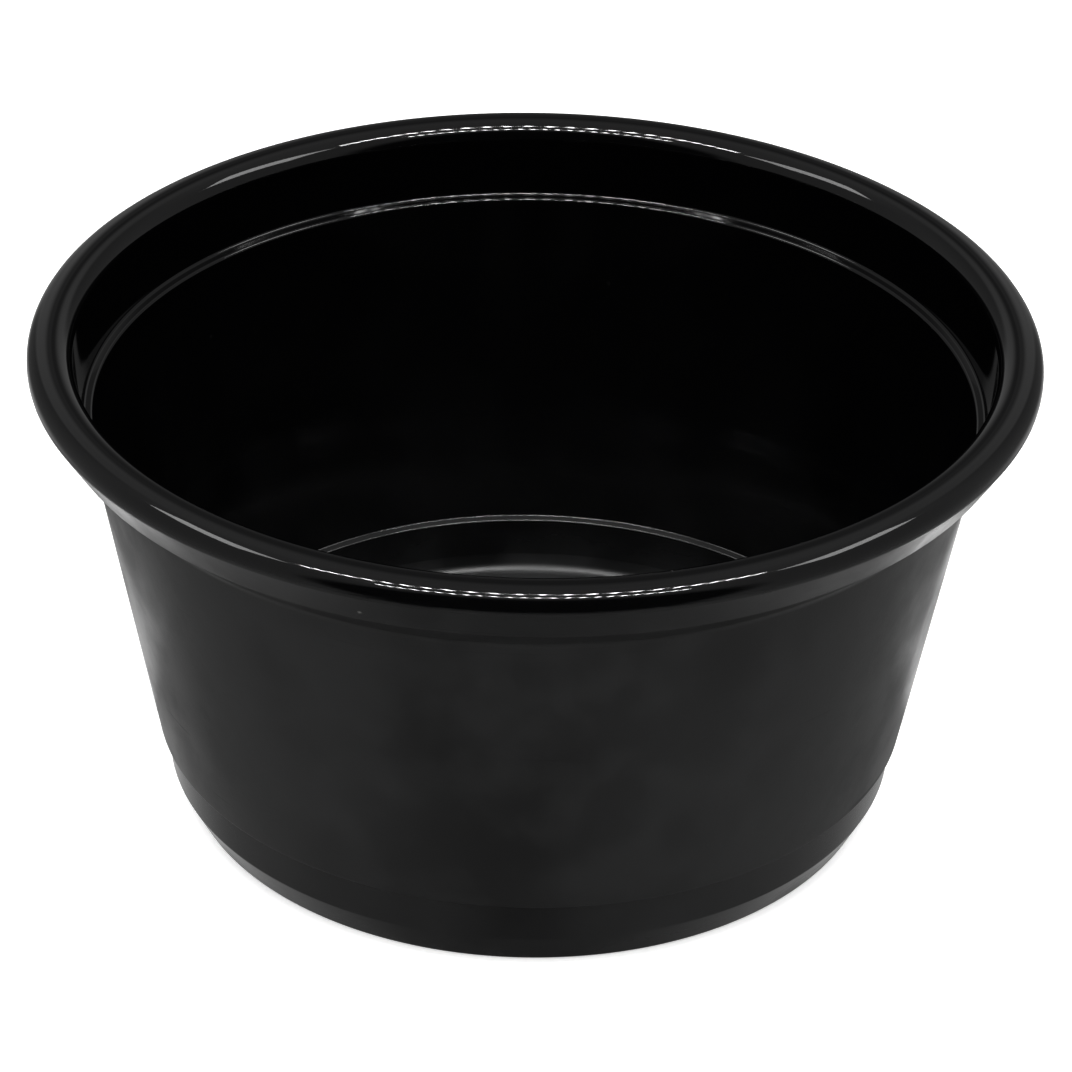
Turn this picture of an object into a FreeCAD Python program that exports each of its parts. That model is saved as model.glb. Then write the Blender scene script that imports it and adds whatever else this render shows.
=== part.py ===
import FreeCAD, Part
import Sketcher
import os

# A small round portion bowl, moulded in one piece.  Millimetres, +Z up.
# The origin is the centre of the ring it stands on, and +Z is its axis.

# The driving dimensions.  Heights are measured from the table, radii from the axis.
SIZES = {
    "bowl_height": 31.5,            # table to the crest of the rim
    "rim_radius": 31.0,             # widest radius, on the rim
    "rim_width": 2.65,              # rim's outer edge in to the mouth
    "crest_width": 1.5,             # the rim's top is level this far out from the mouth
    "crown_drop": 0.3,              # and then falls by this much to its outer edge
    "crest_round": 1.5,             # blend between the level top and the fall
    "rim_round": 1.0,               # rounding of the rim's outer edge
    "mouth_round": 1.3,             # rounding of the rim's inner edge
    "lip_depth": 1.35,              # crest to where the rim starts to taper under
    "lip_round": 0.5,
    "skirt_rise": 1.1,              # lower edge of the tapered skirt, above the ledge
    "skirt_inset": 1.5,             # rim's outer edge in to that lower edge
    "skirt_round": 0.6,
    "ledge_depth": 4.8,             # crest to the ledge inside, under the lid seat
    "seat_draft": 0.65,             # how far the lid seat narrows from mouth to ledge
    "ledge_width": 0.6,
    "ledge_drop": 0.1,              # slope of the ledge towards the axis
    "ledge_round": 0.24,
    "ledge_floor": 0.6,             # ledge to where the rim's underside meets the wall
    "shoulder_round": 1.0,          # cove between that underside and the wall
    "wall": 0.45,                   # thickness at the top of the wall, measured level
    "foot_wall": 0.75,              # thickness at the step and of the band, measured level
    "wall_foot_radius": 23.6,       # outside of the wall, at the stacking step
    "step_height": 5.05,            # stacking step at the foot of the wall
    "step_width": 0.4,
    "step_drop": 0.2,
    "inner_step_drop": 0.24,        # the same step inside is this much lower
    "step_round": 0.15,
    "band_draft": 0.3,              # how far the plain band narrows below the step
    "heel_height": 2.2,             # where the band turns in towards the foot
    "heel_inset": 1.15,             # how far the heel turns in before it meets the table
    "heel_round": 0.4,
    "foot_width": 1.4,              # width of the ring that it stands on
    "base_recess": 0.5,             # height of the base above the table
    "floor": 0.6,                   # thickness of the floor
    "floor_round": 0.8,             # rounding where the floor meets the band
    "cut_over": 1.0,                # how far the hollowing cut runs past the rim
}

doc = FreeCAD.newDocument("portion_bowl")
sheet = doc.addObject("Spreadsheet::Sheet", "sizes")
for row, (name, size) in enumerate(SIZES.items(), start=1):
    sheet.set("A%d" % row, name)
    sheet.set("B%d" % row, str(size))
    sheet.setAlias("B%d" % row, name)
doc.recompute()


def value(text):
    """The number that a sum of sizes such as "rim_radius - wall" comes to."""
    words = text.split()
    total = sheet.get(words[0])
    for sign, name in zip(words[1::2], words[2::2]):
        total += sheet.get(name) if sign == "+" else -sheet.get(name)
    return total


def formula(text):
    """The same sum as an expression on the sheet."""
    return " ".join("sizes." + word if word[0].isalpha() else word for word in text.split())


def origin_plane(body, role):
    return [feature for feature in body.Origin.OriginFeatures if feature.Role == role][0]


def add_profile(body, name, corners):
    """A closed half section on the XZ plane.  A corner is (radius, height) as sums
    of sizes; a radius of None lies on the axis, and a height of None on the table."""
    sketch = body.newObject("Sketcher::SketchObject", name)
    sketch.AttachmentSupport = (origin_plane(body, "XZ_Plane"), [""])
    sketch.MapMode = "FlatFace"
    points = [FreeCAD.Vector(value(r) if r else 0, value(z) if z else 0, 0) for r, z in corners]
    count = len(points)
    for i in range(count):
        sketch.addGeometry(Part.LineSegment(points[i], points[(i + 1) % count]), False)
    for i in range(count):
        sketch.addConstraint(Sketcher.Constraint("Coincident", i, 2, (i + 1) % count, 1))
    for i, (r, z) in enumerate(corners):
        for kind, text, axis in (("DistanceX", r, -2), ("DistanceY", z, -1)):
            if text is None:
                sketch.addConstraint(Sketcher.Constraint("PointOnObject", i, 1, axis))
            else:
                index = sketch.addConstraint(Sketcher.Constraint(kind, -1, 1, i, 1, value(text)))
                sketch.setExpression("Constraints[%d]" % index, formula(text))
    doc.recompute()
    return sketch


def turn(body, kind, name, sketch):
    """A full turn of a sketch about the vertical axis, added or cut away."""
    feature = body.newObject(kind, name)
    feature.Profile = sketch
    feature.ReferenceAxis = (sketch, ["V_Axis"])
    feature.Angle = 360
    doc.recompute()
    return feature


def round_corners(body, name, corners, radius):
    """Rounds the circular edges that pass through the given (radius, height) corners."""
    base = body.Tip
    names = []
    for r, z in corners:
        for index, edge in enumerate(base.Shape.Edges, start=1):
            circle = edge.Curve
            if isinstance(circle, Part.Circle) and abs(circle.Radius - value(r)) < 1e-4:
                if abs(circle.Center.z - (value(z) if z else 0)) < 1e-4:
                    names.append("Edge%d" % index)
    if len(names) != len(corners):
        raise RuntimeError("%s: found %d of %d edges" % (name, len(names), len(corners)))
    fillet = body.newObject("PartDesign::Fillet", name)
    fillet.Base = (base, names)
    fillet.setExpression("Radius", formula(radius))
    doc.recompute()
    return fillet


# Radii that follow from others: the lid seat hangs from the rim, and the foot from the wall.
MOUTH = "rim_radius - rim_width"
LEDGE = MOUTH + " - seat_draft"
WALL_TOP = LEDGE + " - ledge_width"             # inside of the wall, under the ledge
BAND = "wall_foot_radius - step_width"
BAND_END = BAND + " - band_draft"
FOOT = BAND_END + " - heel_inset"
FOOT_INSIDE = FOOT + " - foot_width"
STEP_INSIDE = "wall_foot_radius - foot_wall"

# Heights that follow from others.
LEDGE_HEIGHT = "bowl_height - ledge_depth"
INNER_STEP = "step_height - inner_step_drop"

# Corners of the outside, from the crest of the rim down to the base.
MOUTH_EDGE = (MOUTH, "bowl_height")
CREST = (MOUTH + " + crest_width", "bowl_height")
RIM_EDGE = ("rim_radius", "bowl_height - crown_drop")
LIP_EDGE = ("rim_radius", "bowl_height - lip_depth")
SKIRT_EDGE = ("rim_radius - skirt_inset", LEDGE_HEIGHT + " + skirt_rise")
SHOULDER = (WALL_TOP + " + wall", LEDGE_HEIGHT + " - ledge_floor")
STEP_EDGE = ("wall_foot_radius", "step_height")
BAND_TOP = (BAND, "step_height - step_drop")
BAND_FOOT = (BAND_END, "heel_height")
HEEL = (FOOT, None)
FOOT_INNER = (FOOT_INSIDE, None)
RECESS_EDGE = (FOOT_INSIDE, "base_recess")

# Corners of the inside, from the floor up to the mouth.
FLOOR_EDGE = (FOOT, "base_recess + floor")
BAND_INNER_FOOT = (BAND_END + " - foot_wall", "heel_height")
BAND_INNER_TOP = (STEP_INSIDE + " - step_width", INNER_STEP + " - step_drop")
STEP_INNER_EDGE = (STEP_INSIDE, INNER_STEP)
LEDGE_INNER = (WALL_TOP, LEDGE_HEIGHT + " - ledge_drop")
LEDGE_OUTER = (LEDGE, LEDGE_HEIGHT)

bowl = doc.addObject("PartDesign::Body", "bowl")
bowl.Label = "bowl"

outside = add_profile(bowl, "outside_profile", [
    (None, "base_recess"), (None, "bowl_height"), CREST, RIM_EDGE, LIP_EDGE, SKIRT_EDGE, SHOULDER,
    STEP_EDGE, BAND_TOP, BAND_FOOT, HEEL, FOOT_INNER, RECESS_EDGE])
blank = turn(bowl, "PartDesign::Revolution", "blank", outside)
blank_volume = bowl.Shape.Volume

inside = add_profile(bowl, "inside_profile", [
    (None, "base_recess + floor"), FLOOR_EDGE, BAND_INNER_FOOT, BAND_INNER_TOP, STEP_INNER_EDGE,
    LEDGE_INNER, LEDGE_OUTER, MOUTH_EDGE, (MOUTH, "bowl_height + cut_over"),
    (None, "bowl_height + cut_over")])
hollow = turn(bowl, "PartDesign::Groove", "hollow", inside)
if bowl.Shape.Volume > 0.2 * blank_volume:
    raise RuntimeError("the hollowing cut removed too little")

round_corners(bowl, "rim_rounding", [RIM_EDGE], "rim_round")
round_corners(bowl, "crest_blend", [CREST], "crest_round")
round_corners(bowl, "mouth_rounding", [MOUTH_EDGE], "mouth_round")
round_corners(bowl, "lip_rounding", [LIP_EDGE], "lip_round")
round_corners(bowl, "skirt_rounding", [SKIRT_EDGE], "skirt_round")
round_corners(bowl, "shoulder_cove", [SHOULDER], "shoulder_round")
round_corners(bowl, "ledge_rounding", [LEDGE_INNER, LEDGE_OUTER], "ledge_round")
round_corners(bowl, "step_rounding", [STEP_EDGE, BAND_TOP, BAND_INNER_TOP, STEP_INNER_EDGE], "step_round")
round_corners(bowl, "heel_rounding", [HEEL], "heel_round")
round_corners(bowl, "floor_rounding", [FLOOR_EDGE], "floor_round")
bowl.Placement = FreeCAD.Placement()
doc.recompute()

for item in doc.Objects:
    if "Invalid" in item.State or "Error" in item.State:
        raise RuntimeError("%s did not compute: %s" % (item.Name, item.State))

os.makedirs("parts", exist_ok=True)
for piece in (bowl,):
    shape = piece.Shape
    if shape.isNull() or not shape.isValid() or len(shape.Solids) != 1:
        raise RuntimeError("%s is not one valid solid" % piece.Label)
    shape.exportStep("parts/%s.step" % piece.Label)
    print(piece.Label, "volume %.1f mm3" % shape.Volume, shape.BoundBox)
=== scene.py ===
import math
import bpy
import numpy as np
from mathutils import Matrix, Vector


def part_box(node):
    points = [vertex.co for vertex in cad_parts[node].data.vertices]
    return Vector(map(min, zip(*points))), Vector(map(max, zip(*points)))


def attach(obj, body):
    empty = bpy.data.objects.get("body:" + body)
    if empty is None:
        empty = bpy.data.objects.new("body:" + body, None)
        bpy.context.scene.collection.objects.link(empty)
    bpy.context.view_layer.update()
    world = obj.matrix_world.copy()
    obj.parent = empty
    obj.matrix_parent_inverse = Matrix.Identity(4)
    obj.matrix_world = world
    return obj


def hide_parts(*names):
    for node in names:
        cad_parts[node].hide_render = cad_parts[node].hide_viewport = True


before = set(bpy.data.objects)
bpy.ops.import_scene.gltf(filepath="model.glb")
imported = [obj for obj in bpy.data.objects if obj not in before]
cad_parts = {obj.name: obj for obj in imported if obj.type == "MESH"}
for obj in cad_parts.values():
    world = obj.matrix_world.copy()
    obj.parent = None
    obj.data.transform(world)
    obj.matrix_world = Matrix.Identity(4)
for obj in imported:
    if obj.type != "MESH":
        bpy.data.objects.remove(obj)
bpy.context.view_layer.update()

mm = 0.001          # sizes are in metres, written as so many mm


class Wire:
    # One output of a node.  A sum written with wires adds the Math nodes that do it.
    def __init__(self, tree, socket):
        self.tree = tree
        self.socket = socket

    def math(self, operation, *values):
        node = self.tree.nodes.new("ShaderNodeMath")
        node.operation = operation
        plug(self.tree, node, dict(enumerate(values)))
        return Wire(self.tree, node.outputs[0])

    def __add__(self, other):
        return self.math("ADD", self, other)

    def __sub__(self, other):
        return self.math("SUBTRACT", self, other)

    def __rsub__(self, other):
        return self.math("SUBTRACT", other, self)

    def __mul__(self, other):
        return self.math("MULTIPLY", self, other)

    def __lt__(self, other):
        return self.math("LESS_THAN", self, other)

    def __gt__(self, other):
        return self.math("GREATER_THAN", self, other)

    __radd__ = __add__
    __rmul__ = __mul__


def plug(tree, node, sockets):
    # Gives a node's sockets their links or their plain values.
    for name, value in sockets.items():
        if isinstance(value, Wire):
            tree.links.new(value.socket, node.inputs[name])
        else:
            node.inputs[name].default_value = value


class Bench:
    # An emptied node tree, and the one way that any node but Math is put in it.
    def __init__(self, owner):
        owner.use_nodes = True
        self.tree = owner.node_tree
        self.tree.nodes.clear()

    def put(self, kind, settings=None, sockets=None, out=0):
        node = self.tree.nodes.new("ShaderNode" + kind)
        for name, value in (settings or {}).items():
            setattr(node, name, value)
        plug(self.tree, node, sockets or {})
        return Wire(self.tree, node.outputs[out]) if len(node.outputs) else node

    def ease(self, wire, start, end, first=0.0, last=1.0):
        # Goes smoothly from first to last while the wire goes from start to end.
        return self.put("MapRange", {"interpolation_type": "SMOOTHSTEP"}, {
            "Value": wire, "From Min": start, "From Max": end, "To Min": first, "To Max": last})

    def blend(self, first, second, share):
        # The Mix node's colour sockets are its seventh and eighth, and its third way out.
        return self.put("Mix", {"data_type": "RGBA"}, {0: share, 6: first, 7: second}, 2)

    def noise(self, place, scale, detail=2.0, roughness=0.5):
        return self.put("TexNoise", None, {
            "Vector": place, "Scale": scale, "Detail": detail, "Roughness": roughness})


print("camera")
camera = {
    "distance": 310 * mm,           # from the point that it looks at
    "aimHeight": 15 * mm,
    "elevation": 31.18,             # degrees above the table
    "roll": 0.95,
    "lens": 165.9,
    "shift": (0.0037, 0.0232),
}


def makeCamera(c):
    data = bpy.data.cameras.new("camera")
    data.lens = c["lens"]
    data.shift_x, data.shift_y = c["shift"]
    data.clip_start, data.clip_end = 0.01, 50
    shot = bpy.data.objects.new("camera", data)
    tilt = math.radians(c["elevation"])
    place = (0, -c["distance"] * math.cos(tilt), c["aimHeight"] + c["distance"] * math.sin(tilt))
    roll = Matrix.Rotation(math.radians(c["roll"]), 4, "Z")
    turn = Matrix.Rotation(math.pi / 2 - tilt, 4, "X") @ roll
    shot.matrix_world = Matrix.Translation(place) @ turn
    bpy.context.scene.collection.objects.link(shot)
    bpy.context.scene.camera = shot


makeCamera(camera)

print("bowl")
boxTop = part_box("bowl")[1]
bowl = {
    "height": boxTop.z,
    "rimRadius": boxTop.x,
    "rimWidth": 2.65 * mm,
    "mouthRound": 1.3 * mm,
    "crestWidth": 1.5 * mm,         # level top of the rim, outwards from the mouth
    "crestRound": 1.5 * mm,
    "crownDrop": 0.3 * mm,          # then it falls this much to the outer edge
    "rimRound": 1.0 * mm,
    "lipDepth": 1.35 * mm,
    "lipRound": 0.5 * mm,
    "skirtRise": 1.1 * mm,          # lower edge of the skirt, above the ledge
    "skirtInset": 1.5 * mm,
    "skirtRound": 0.6 * mm,
    "ledgeDepth": 4.8 * mm,
    "ledgeWidth": 0.6 * mm,
    "ledgeDrop": 0.1 * mm,
    "ledgeRound": 0.24 * mm,
    "ledgeFloor": 0.6 * mm,
    "shoulderRound": 1.0 * mm,
    "seatDraft": 0.65 * mm,
    "wall": 0.45 * mm,
    "footWall": 0.75 * mm,
    "wallFoot": 23.6 * mm,          # outside radius at the stacking step
    "stepHeight": 5.05 * mm,
    "stepWidth": 0.4 * mm,
    "stepDrop": 0.2 * mm,
    "innerStepDrop": 0.24 * mm,
    "stepRound": 0.15 * mm,
    "bandDraft": 0.3 * mm,
    "heelHeight": 2.2 * mm,
    "heelInset": 1.15 * mm,
    "heelRound": 0.2 * mm,
    "innerHeelRound": 0.3 * mm,
    "footWidth": 1.4 * mm,
    "footRound": 0.4 * mm,          # outer edge of the ring that it stands on
    "baseRecess": 0.5 * mm,
    "recessRound": 0.15 * mm,
    "floor": 0.6 * mm,
    "floorRound": 0.8 * mm,
    "polish": {                     # 0 is the satin of the wall outside, 1 is full gloss
        "base": 0.2, "band": 0.6, "wall": 0, "lip": 0.15, "rim": 1, "seat": 0.95,
        "innerStep": 0.75, "innerBand": 0.6, "innerHeel": 0.3, "floor": 0.1},
    "arcSteps": 9,                  # points on each rounded corner
    "spokes": 288,                  # points round the axis
}


def bowlCorners(b):
    # The section's corners as (radius, height, rounding, polish), from under the base, up the
    # outside, over the rim and down to the floor.
    top, rim, polish = b["height"], b["rimRadius"], b["polish"]
    mouth = rim - b["rimWidth"]
    ledge, ledgeHeight = mouth - b["seatDraft"], top - b["ledgeDepth"]
    wallTop = ledge - b["ledgeWidth"]
    step, band = b["stepHeight"], b["wallFoot"] - b["stepWidth"]
    bandEnd = band - b["bandDraft"]
    foot = bandEnd - b["heelInset"]
    footInside = foot - b["footWidth"]
    stepInside, innerStep = b["wallFoot"] - b["footWall"], step - b["innerStepDrop"]
    recess, floorTop = b["baseRecess"], b["baseRecess"] + b["floor"]
    return np.array([
        (0, recess, 0, polish["base"]),
        (footInside, recess, b["recessRound"], polish["base"]),
        (footInside, 0, b["recessRound"], polish["base"]),
        (foot, 0, b["footRound"], polish["base"]),
        (bandEnd, b["heelHeight"], b["heelRound"], polish["band"]),
        (band, step - b["stepDrop"], b["stepRound"], polish["band"]),
        (b["wallFoot"], step, b["stepRound"], polish["wall"]),
        (wallTop + b["wall"], ledgeHeight - b["ledgeFloor"], b["shoulderRound"], polish["wall"]),
        (rim - b["skirtInset"], ledgeHeight + b["skirtRise"], b["skirtRound"], polish["wall"]),
        (rim, top - b["lipDepth"], b["lipRound"], polish["lip"]),
        (rim, top - b["crownDrop"], b["rimRound"], polish["rim"]),
        (mouth + b["crestWidth"], top, b["crestRound"], polish["rim"]),
        (mouth, top, b["mouthRound"], polish["rim"]),
        (ledge, ledgeHeight, b["ledgeRound"], polish["seat"]),
        (wallTop, ledgeHeight - b["ledgeDrop"], b["ledgeRound"], polish["rim"]),
        (stepInside, innerStep, b["stepRound"], polish["innerStep"]),
        (stepInside - b["stepWidth"], innerStep - b["stepDrop"], b["stepRound"],
         polish["innerBand"]),
        (bandEnd - b["footWall"], b["heelHeight"], b["innerHeelRound"], polish["innerHeel"]),
        (foot, floorTop, b["floorRound"], polish["floor"]),
        (0, floorTop, 0, polish["floor"])])


def roundedOutline(corners, steps):
    # Each corner gives way to an arc that touches both its sides.  The arc's centre is on the
    # corner's bisector, rounding / sin(half the angle) away, and its radii turn evenly from the
    # first side's normal to the second's.  Returns points, outward normals and polish.
    spot, rounding, polish = corners[:, :2], corners[1:-1, 2:3], corners[:, 3]
    way = np.diff(spot, axis=0)
    way /= np.linalg.norm(way, axis=1, keepdims=True)
    into, away = way[:-1], way[1:]
    side = np.stack([into[:, 1], -into[:, 0]], 1)
    bend = np.arctan2(into[:, 0] * away[:, 1] - into[:, 1] * away[:, 0], (into * away).sum(1))
    hand = np.sign(bend)[:, None]
    start = spot[1:-1] - into * rounding * np.tan(np.abs(bend) / 2)[:, None]
    centre = start - side * rounding * hand
    turn = bend[:, None] * np.linspace(0, 1, steps)
    cos, sin = np.cos(turn), np.sin(turn)
    sideways, upward = side[:, :1], side[:, 1:]
    normal = np.stack([cos * sideways - sin * upward, sin * sideways + cos * upward], 2)
    points = centre[:, None] + normal * (rounding * hand)[:, None]
    ends = spot[[0, -1]]
    points = np.concatenate([ends[:1], points.reshape(-1, 2), ends[1:]])
    normal = np.concatenate([[[0, -1]], normal.reshape(-1, 2), [[0, 1]]])
    polish = np.concatenate([polish[:1], np.repeat(polish[1:-1], steps), polish[-1:]])
    return points, normal, polish


def turnedMesh(name, points, normal, values, spokes):
    # A section carried round the axis: x = r cos(a), y = r sin(a), z as it is.  Its two end
    # points lie on the axis, and each is one vertex that closes the surface with a fan.
    angle = np.arange(spokes) * 2 * np.pi / spokes

    def carry(section):
        rings = section[1:-1, None]
        body = np.stack([rings[..., 0] * np.cos(angle), rings[..., 0] * np.sin(angle),
                         np.broadcast_to(rings[..., 1], (len(section) - 2, spokes))], 2)
        caps = np.array([[0, 0, section[0, 1]], [0, 0, section[-1, 1]]])
        return np.concatenate([body.reshape(-1, 3), caps])

    rings = len(points) - 2
    place = np.arange(rings * spokes).reshape(rings, spokes)
    beside = np.roll(place, -1, 1)
    quads = np.stack([place[:-1], beside[:-1], beside[1:], place[1:]], 2).reshape(-1, 4)
    under = np.stack([np.full(spokes, rings * spokes), beside[0], place[0]], 1)
    over = np.stack([place[-1], beside[-1], np.full(spokes, rings * spokes + 1)], 1)
    mesh = bpy.data.meshes.new(name)
    mesh.from_pydata(carry(points), [], quads.tolist() + under.tolist() + over.tolist())
    mesh.polygons.foreach_set("use_smooth", np.ones(len(mesh.polygons), bool))
    mesh.normals_split_custom_set_from_vertices(carry(normal))
    layer = mesh.attributes.new("polish", "FLOAT", "POINT")
    values = np.concatenate([np.repeat(values[1:-1], spokes), values[[0, -1]]])
    layer.data.foreach_set("value", values)
    return mesh


plastic = {
    "black": (0.0006, 0.0006, 0.0007, 1),
    "faded": (0.0078, 0.0080, 0.0082, 1),       # where the pigment is thinner
    "dustColour": (0.05, 0.05, 0.048, 1),
    "satin": 0.40,                  # roughness of the wall outside
    "gloss": 0.05,                  # roughness inside
    "grainScale": 3800,             # fine matt grain of the mould, per metre
    "grainHeight": 0.0045,          # in mm, as the next heights are
    "waveScale": 170,               # slow unevenness of a thin moulded wall
    "waveHeight": 0.012,
    "mottleScale": 230,             # two sizes of clouding, in colour and in gloss
    "mottleRough": 0.08,
    "cloudScale": 62,
    "cloudRough": 0.12,
    "cloudShare": 0.55,             # of the fading; the rest is mottle
    "scuffs": ((8, 60), (-24, 90)), # slant in degrees, and scale along the mark
    "scuffFineness": 2600,          # scale across the mark
    "scuffRough": 0.12,
    "scuffHeight": 0.004,
    "dustScale": 620,
    "dustAmount": 0.045,            # share of the cells that hold a speck
    "dustRough": 0.3,
    "grainInGloss": 0.04,           # share of the grain that the polished parts keep
    "refraction": 1.46,
}


def blackPlastic(p):
    material = bpy.data.materials.new("blackPlastic")
    bench = Bench(material)
    place = bench.put("TexCoord", out="Object")
    polish = bench.put("Attribute", {"attribute_name": "polish"}, out="Fac")
    satin = 1 - polish

    grain = bench.noise(place, p["grainScale"], 3, 0.6)
    waves = bench.noise(place, p["waveScale"], 2)
    mottle = bench.ease(bench.noise(place, p["mottleScale"], 4, 0.6), 0.38, 0.66)
    cloud = bench.ease(bench.noise(place, p["cloudScale"], 2), 0.38, 0.62)

    # Rubbing marks: a noise drawn out along a slant, kept only at its crests and in few places.
    marks = 0
    for slant, reach in p["scuffs"]:
        drawn = bench.put("Mapping", None, {
            "Vector": place, "Rotation": (0, math.radians(slant), 0),
            "Scale": (reach, reach, p["scuffFineness"])})
        patch = bench.ease(bench.noise(place, reach * 2.3), 0.52, 0.66)
        marks = bench.ease(bench.noise(drawn, 1.0, 1), 0.70, 0.78) * patch + marks
    marks = marks * satin

    # Dust: in a few of many small cells, a dot at the cell's middle.
    cell = {"Vector": place, "Scale": p["dustScale"]}
    far = bench.put("TexVoronoi", None, cell, "Distance")
    cellColour = bench.put("TexVoronoi", None, cell, "Color")
    chance = bench.put("SeparateColor", None, {"Color": cellColour})
    dust = (chance > 1 - p["dustAmount"]) * bench.ease(far, 0.05, 0.11, 1, 0) * satin

    fading = mottle * (1 - p["cloudShare"]) + cloud * p["cloudShare"]
    colour = bench.blend(p["black"], p["faded"], fading * satin)
    colour = bench.blend(colour, p["dustColour"], dust)
    uneven = (cloud - 0.5) * p["cloudRough"] + (mottle - 0.5) * p["mottleRough"]
    rough = p["satin"] * satin + p["gloss"] * polish + uneven * satin
    rough = rough + marks * p["scuffRough"] + dust * p["dustRough"]

    kept = p["grainInGloss"]
    relief = grain * (satin * (1 - kept) + kept) * p["grainHeight"] + waves * p["waveHeight"]
    relief = relief - marks * p["scuffHeight"]
    bump = bench.put("Bump", None, {"Strength": 1.0, "Distance": mm, "Height": relief})
    shader = bench.put("BsdfPrincipled", None, {
        "Base Color": colour, "Roughness": rough, "Normal": bump, "IOR": p["refraction"]})
    bench.put("OutputMaterial", None, {"Surface": shader})
    return material


def makeBowl(b):
    points, normal, polish = roundedOutline(bowlCorners(b), b["arcSteps"])
    mesh = turnedMesh("mouldedBowl", points, normal, polish, b["spokes"])
    mesh.materials.append(blackPlastic(plastic))
    piece = bpy.data.objects.new("mouldedBowl", mesh)
    bpy.context.scene.collection.objects.link(piece)
    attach(piece, "root")
    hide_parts("bowl")


makeBowl(bowl)

print("studio")
studio = {
    "floorSize": 4.0,
    "floorColour": (0.92, 0.92, 0.92, 1),
    "floorGlow": 0.5,
    "surround": 0.31,               # soft light on every side, less these changes
    "openFront": 0.95,              # share taken away towards the open front
    "underneath": 0.65,             # share taken away straight below
    "paleBack": 0.30,               # added low down at the back
    "darkBack": 0.22,               # taken away in the middle of the back, above the table
    "sides": 0.26,                  # added again to either side of that
    "roof": 0.08,                   # added straight above
    "cardGlow": 1.2,                # pale card on the table behind the bowl
    "cardSize": (72 * mm, 100 * mm),
    "cardPlace": (0, 55 * mm, 0.2 * mm),
    "panelGlow": 4,                 # a soft panel above on either side
    "panelSize": (120 * mm, 200 * mm),
    "panelPlace": ((-300 * mm, 0, 350 * mm), (300 * mm, 0, 350 * mm)),
    "softboxSize": 2.4,
    "softboxHeight": 1.2,
    "softboxPower": 60,
    "lampPitch": 16.7 * mm,         # between the small lamps of a strip
    "lampCount": 24,
    "lampSize": (4 * mm, 20 * mm),
    "lampGlow": 180,
    "strips": ((-69 * mm, 348 * mm), (-226 * mm, 395 * mm)),    # (y, z) of each strip
}


def plainMaterial(name, colour, glow=0.0):
    material = bpy.data.materials.new(name)
    bench = Bench(material)
    shader = bench.put("BsdfPrincipled", None, {
        "Base Color": colour, "Roughness": 0.6,
        "Emission Color": (1, 1, 1, 1), "Emission Strength": glow})
    bench.put("OutputMaterial", None, {"Surface": shader})
    return material


def oblongs(name, centres, sides, facing, material):
    # One flat oblong for each centre, its corners half of each side from it along x and y.
    # They run the other way round, facing down, where facing is -1.
    corner = np.array([(-1, -1, 0), (1, -1, 0), (1, 1, 0), (-1, 1, 0)])[::facing]
    vertices = (np.asarray(centres)[:, None] + corner * np.array([*sides, 0]) / 2).reshape(-1, 3)
    mesh = bpy.data.meshes.new(name)
    mesh.from_pydata(vertices, [], np.arange(len(vertices)).reshape(-1, 4).tolist())
    mesh.materials.append(material)
    piece = bpy.data.objects.new(name, mesh)
    bpy.context.scene.collection.objects.link(piece)
    return piece


def makeStudio(s):
    pale = plainMaterial("paleTable", s["floorColour"], s["floorGlow"])
    table = oblongs("table", [(0, 0, 0)], (s["floorSize"], s["floorSize"]), 1, pale)
    table.visible_glossy = False

    card = oblongs("card", [s["cardPlace"]], s["cardSize"], 1,
                   plainMaterial("cardFace", (0.8, 0.8, 0.8, 1), s["cardGlow"]))
    card.visible_diffuse = False
    card.visible_camera = False
    panels = oblongs("panels", s["panelPlace"], s["panelSize"], -1,
                     plainMaterial("panelFace", (0.8, 0.8, 0.8, 1), s["panelGlow"]))
    panels.visible_diffuse = False

    along = (np.arange(s["lampCount"]) - (s["lampCount"] - 1) / 2) * s["lampPitch"]
    lampFace = plainMaterial("lampFace", (0.8, 0.8, 0.8, 1), s["lampGlow"])
    for number, (y, z) in enumerate(s["strips"], 1):
        row = np.stack([along, np.full_like(along, y), np.full_like(along, z)], 1)
        strip = oblongs("lampStrip%d" % number, row, s["lampSize"], -1, lampFace)
        strip.visible_diffuse = False

    softbox = bpy.data.lights.new("softbox", "AREA")
    softbox.size = s["softboxSize"]
    softbox.energy = s["softboxPower"]
    hung = bpy.data.objects.new("softbox", softbox)
    hung.location.z = s["softboxHeight"]
    hung.visible_glossy = False
    bpy.context.scene.collection.objects.link(hung)

    world = bpy.data.worlds.new("surround")
    bpy.context.scene.world = world
    bench = Bench(world)
    heading = bench.put("TexCoord", out="Generated")
    x, y, z = (bench.put("SeparateXYZ", None, {0: heading}, axis) for axis in "XYZ")
    front, under = bench.ease(y, -0.60, -0.76), bench.ease(z, -0.82, -1)
    behind, low = bench.ease(y, 0.3, 0.85), bench.ease(z, -0.15, -0.45)
    roof = bench.ease(z, 0.6, 0.9)
    off = x.math("ABSOLUTE", x)
    aside = bench.ease(off, 0.03, 0.27) * bench.ease(off, 0.36, 0.5, 1, 0.25)
    level = low * s["paleBack"] + (1 - low) * (aside * s["sides"] - s["darkBack"])
    level = level * behind + s["surround"]
    level = level * (1 - front * s["openFront"]) * (1 - under * s["underneath"]) + roof * s["roof"]
    sky = bench.put("Background", None, {"Color": (1, 1, 1, 1), "Strength": level})
    bench.put("OutputWorld", None, {"Surface": sky})
    bpy.context.scene.view_settings.view_transform = "Standard"


makeStudio(studio)
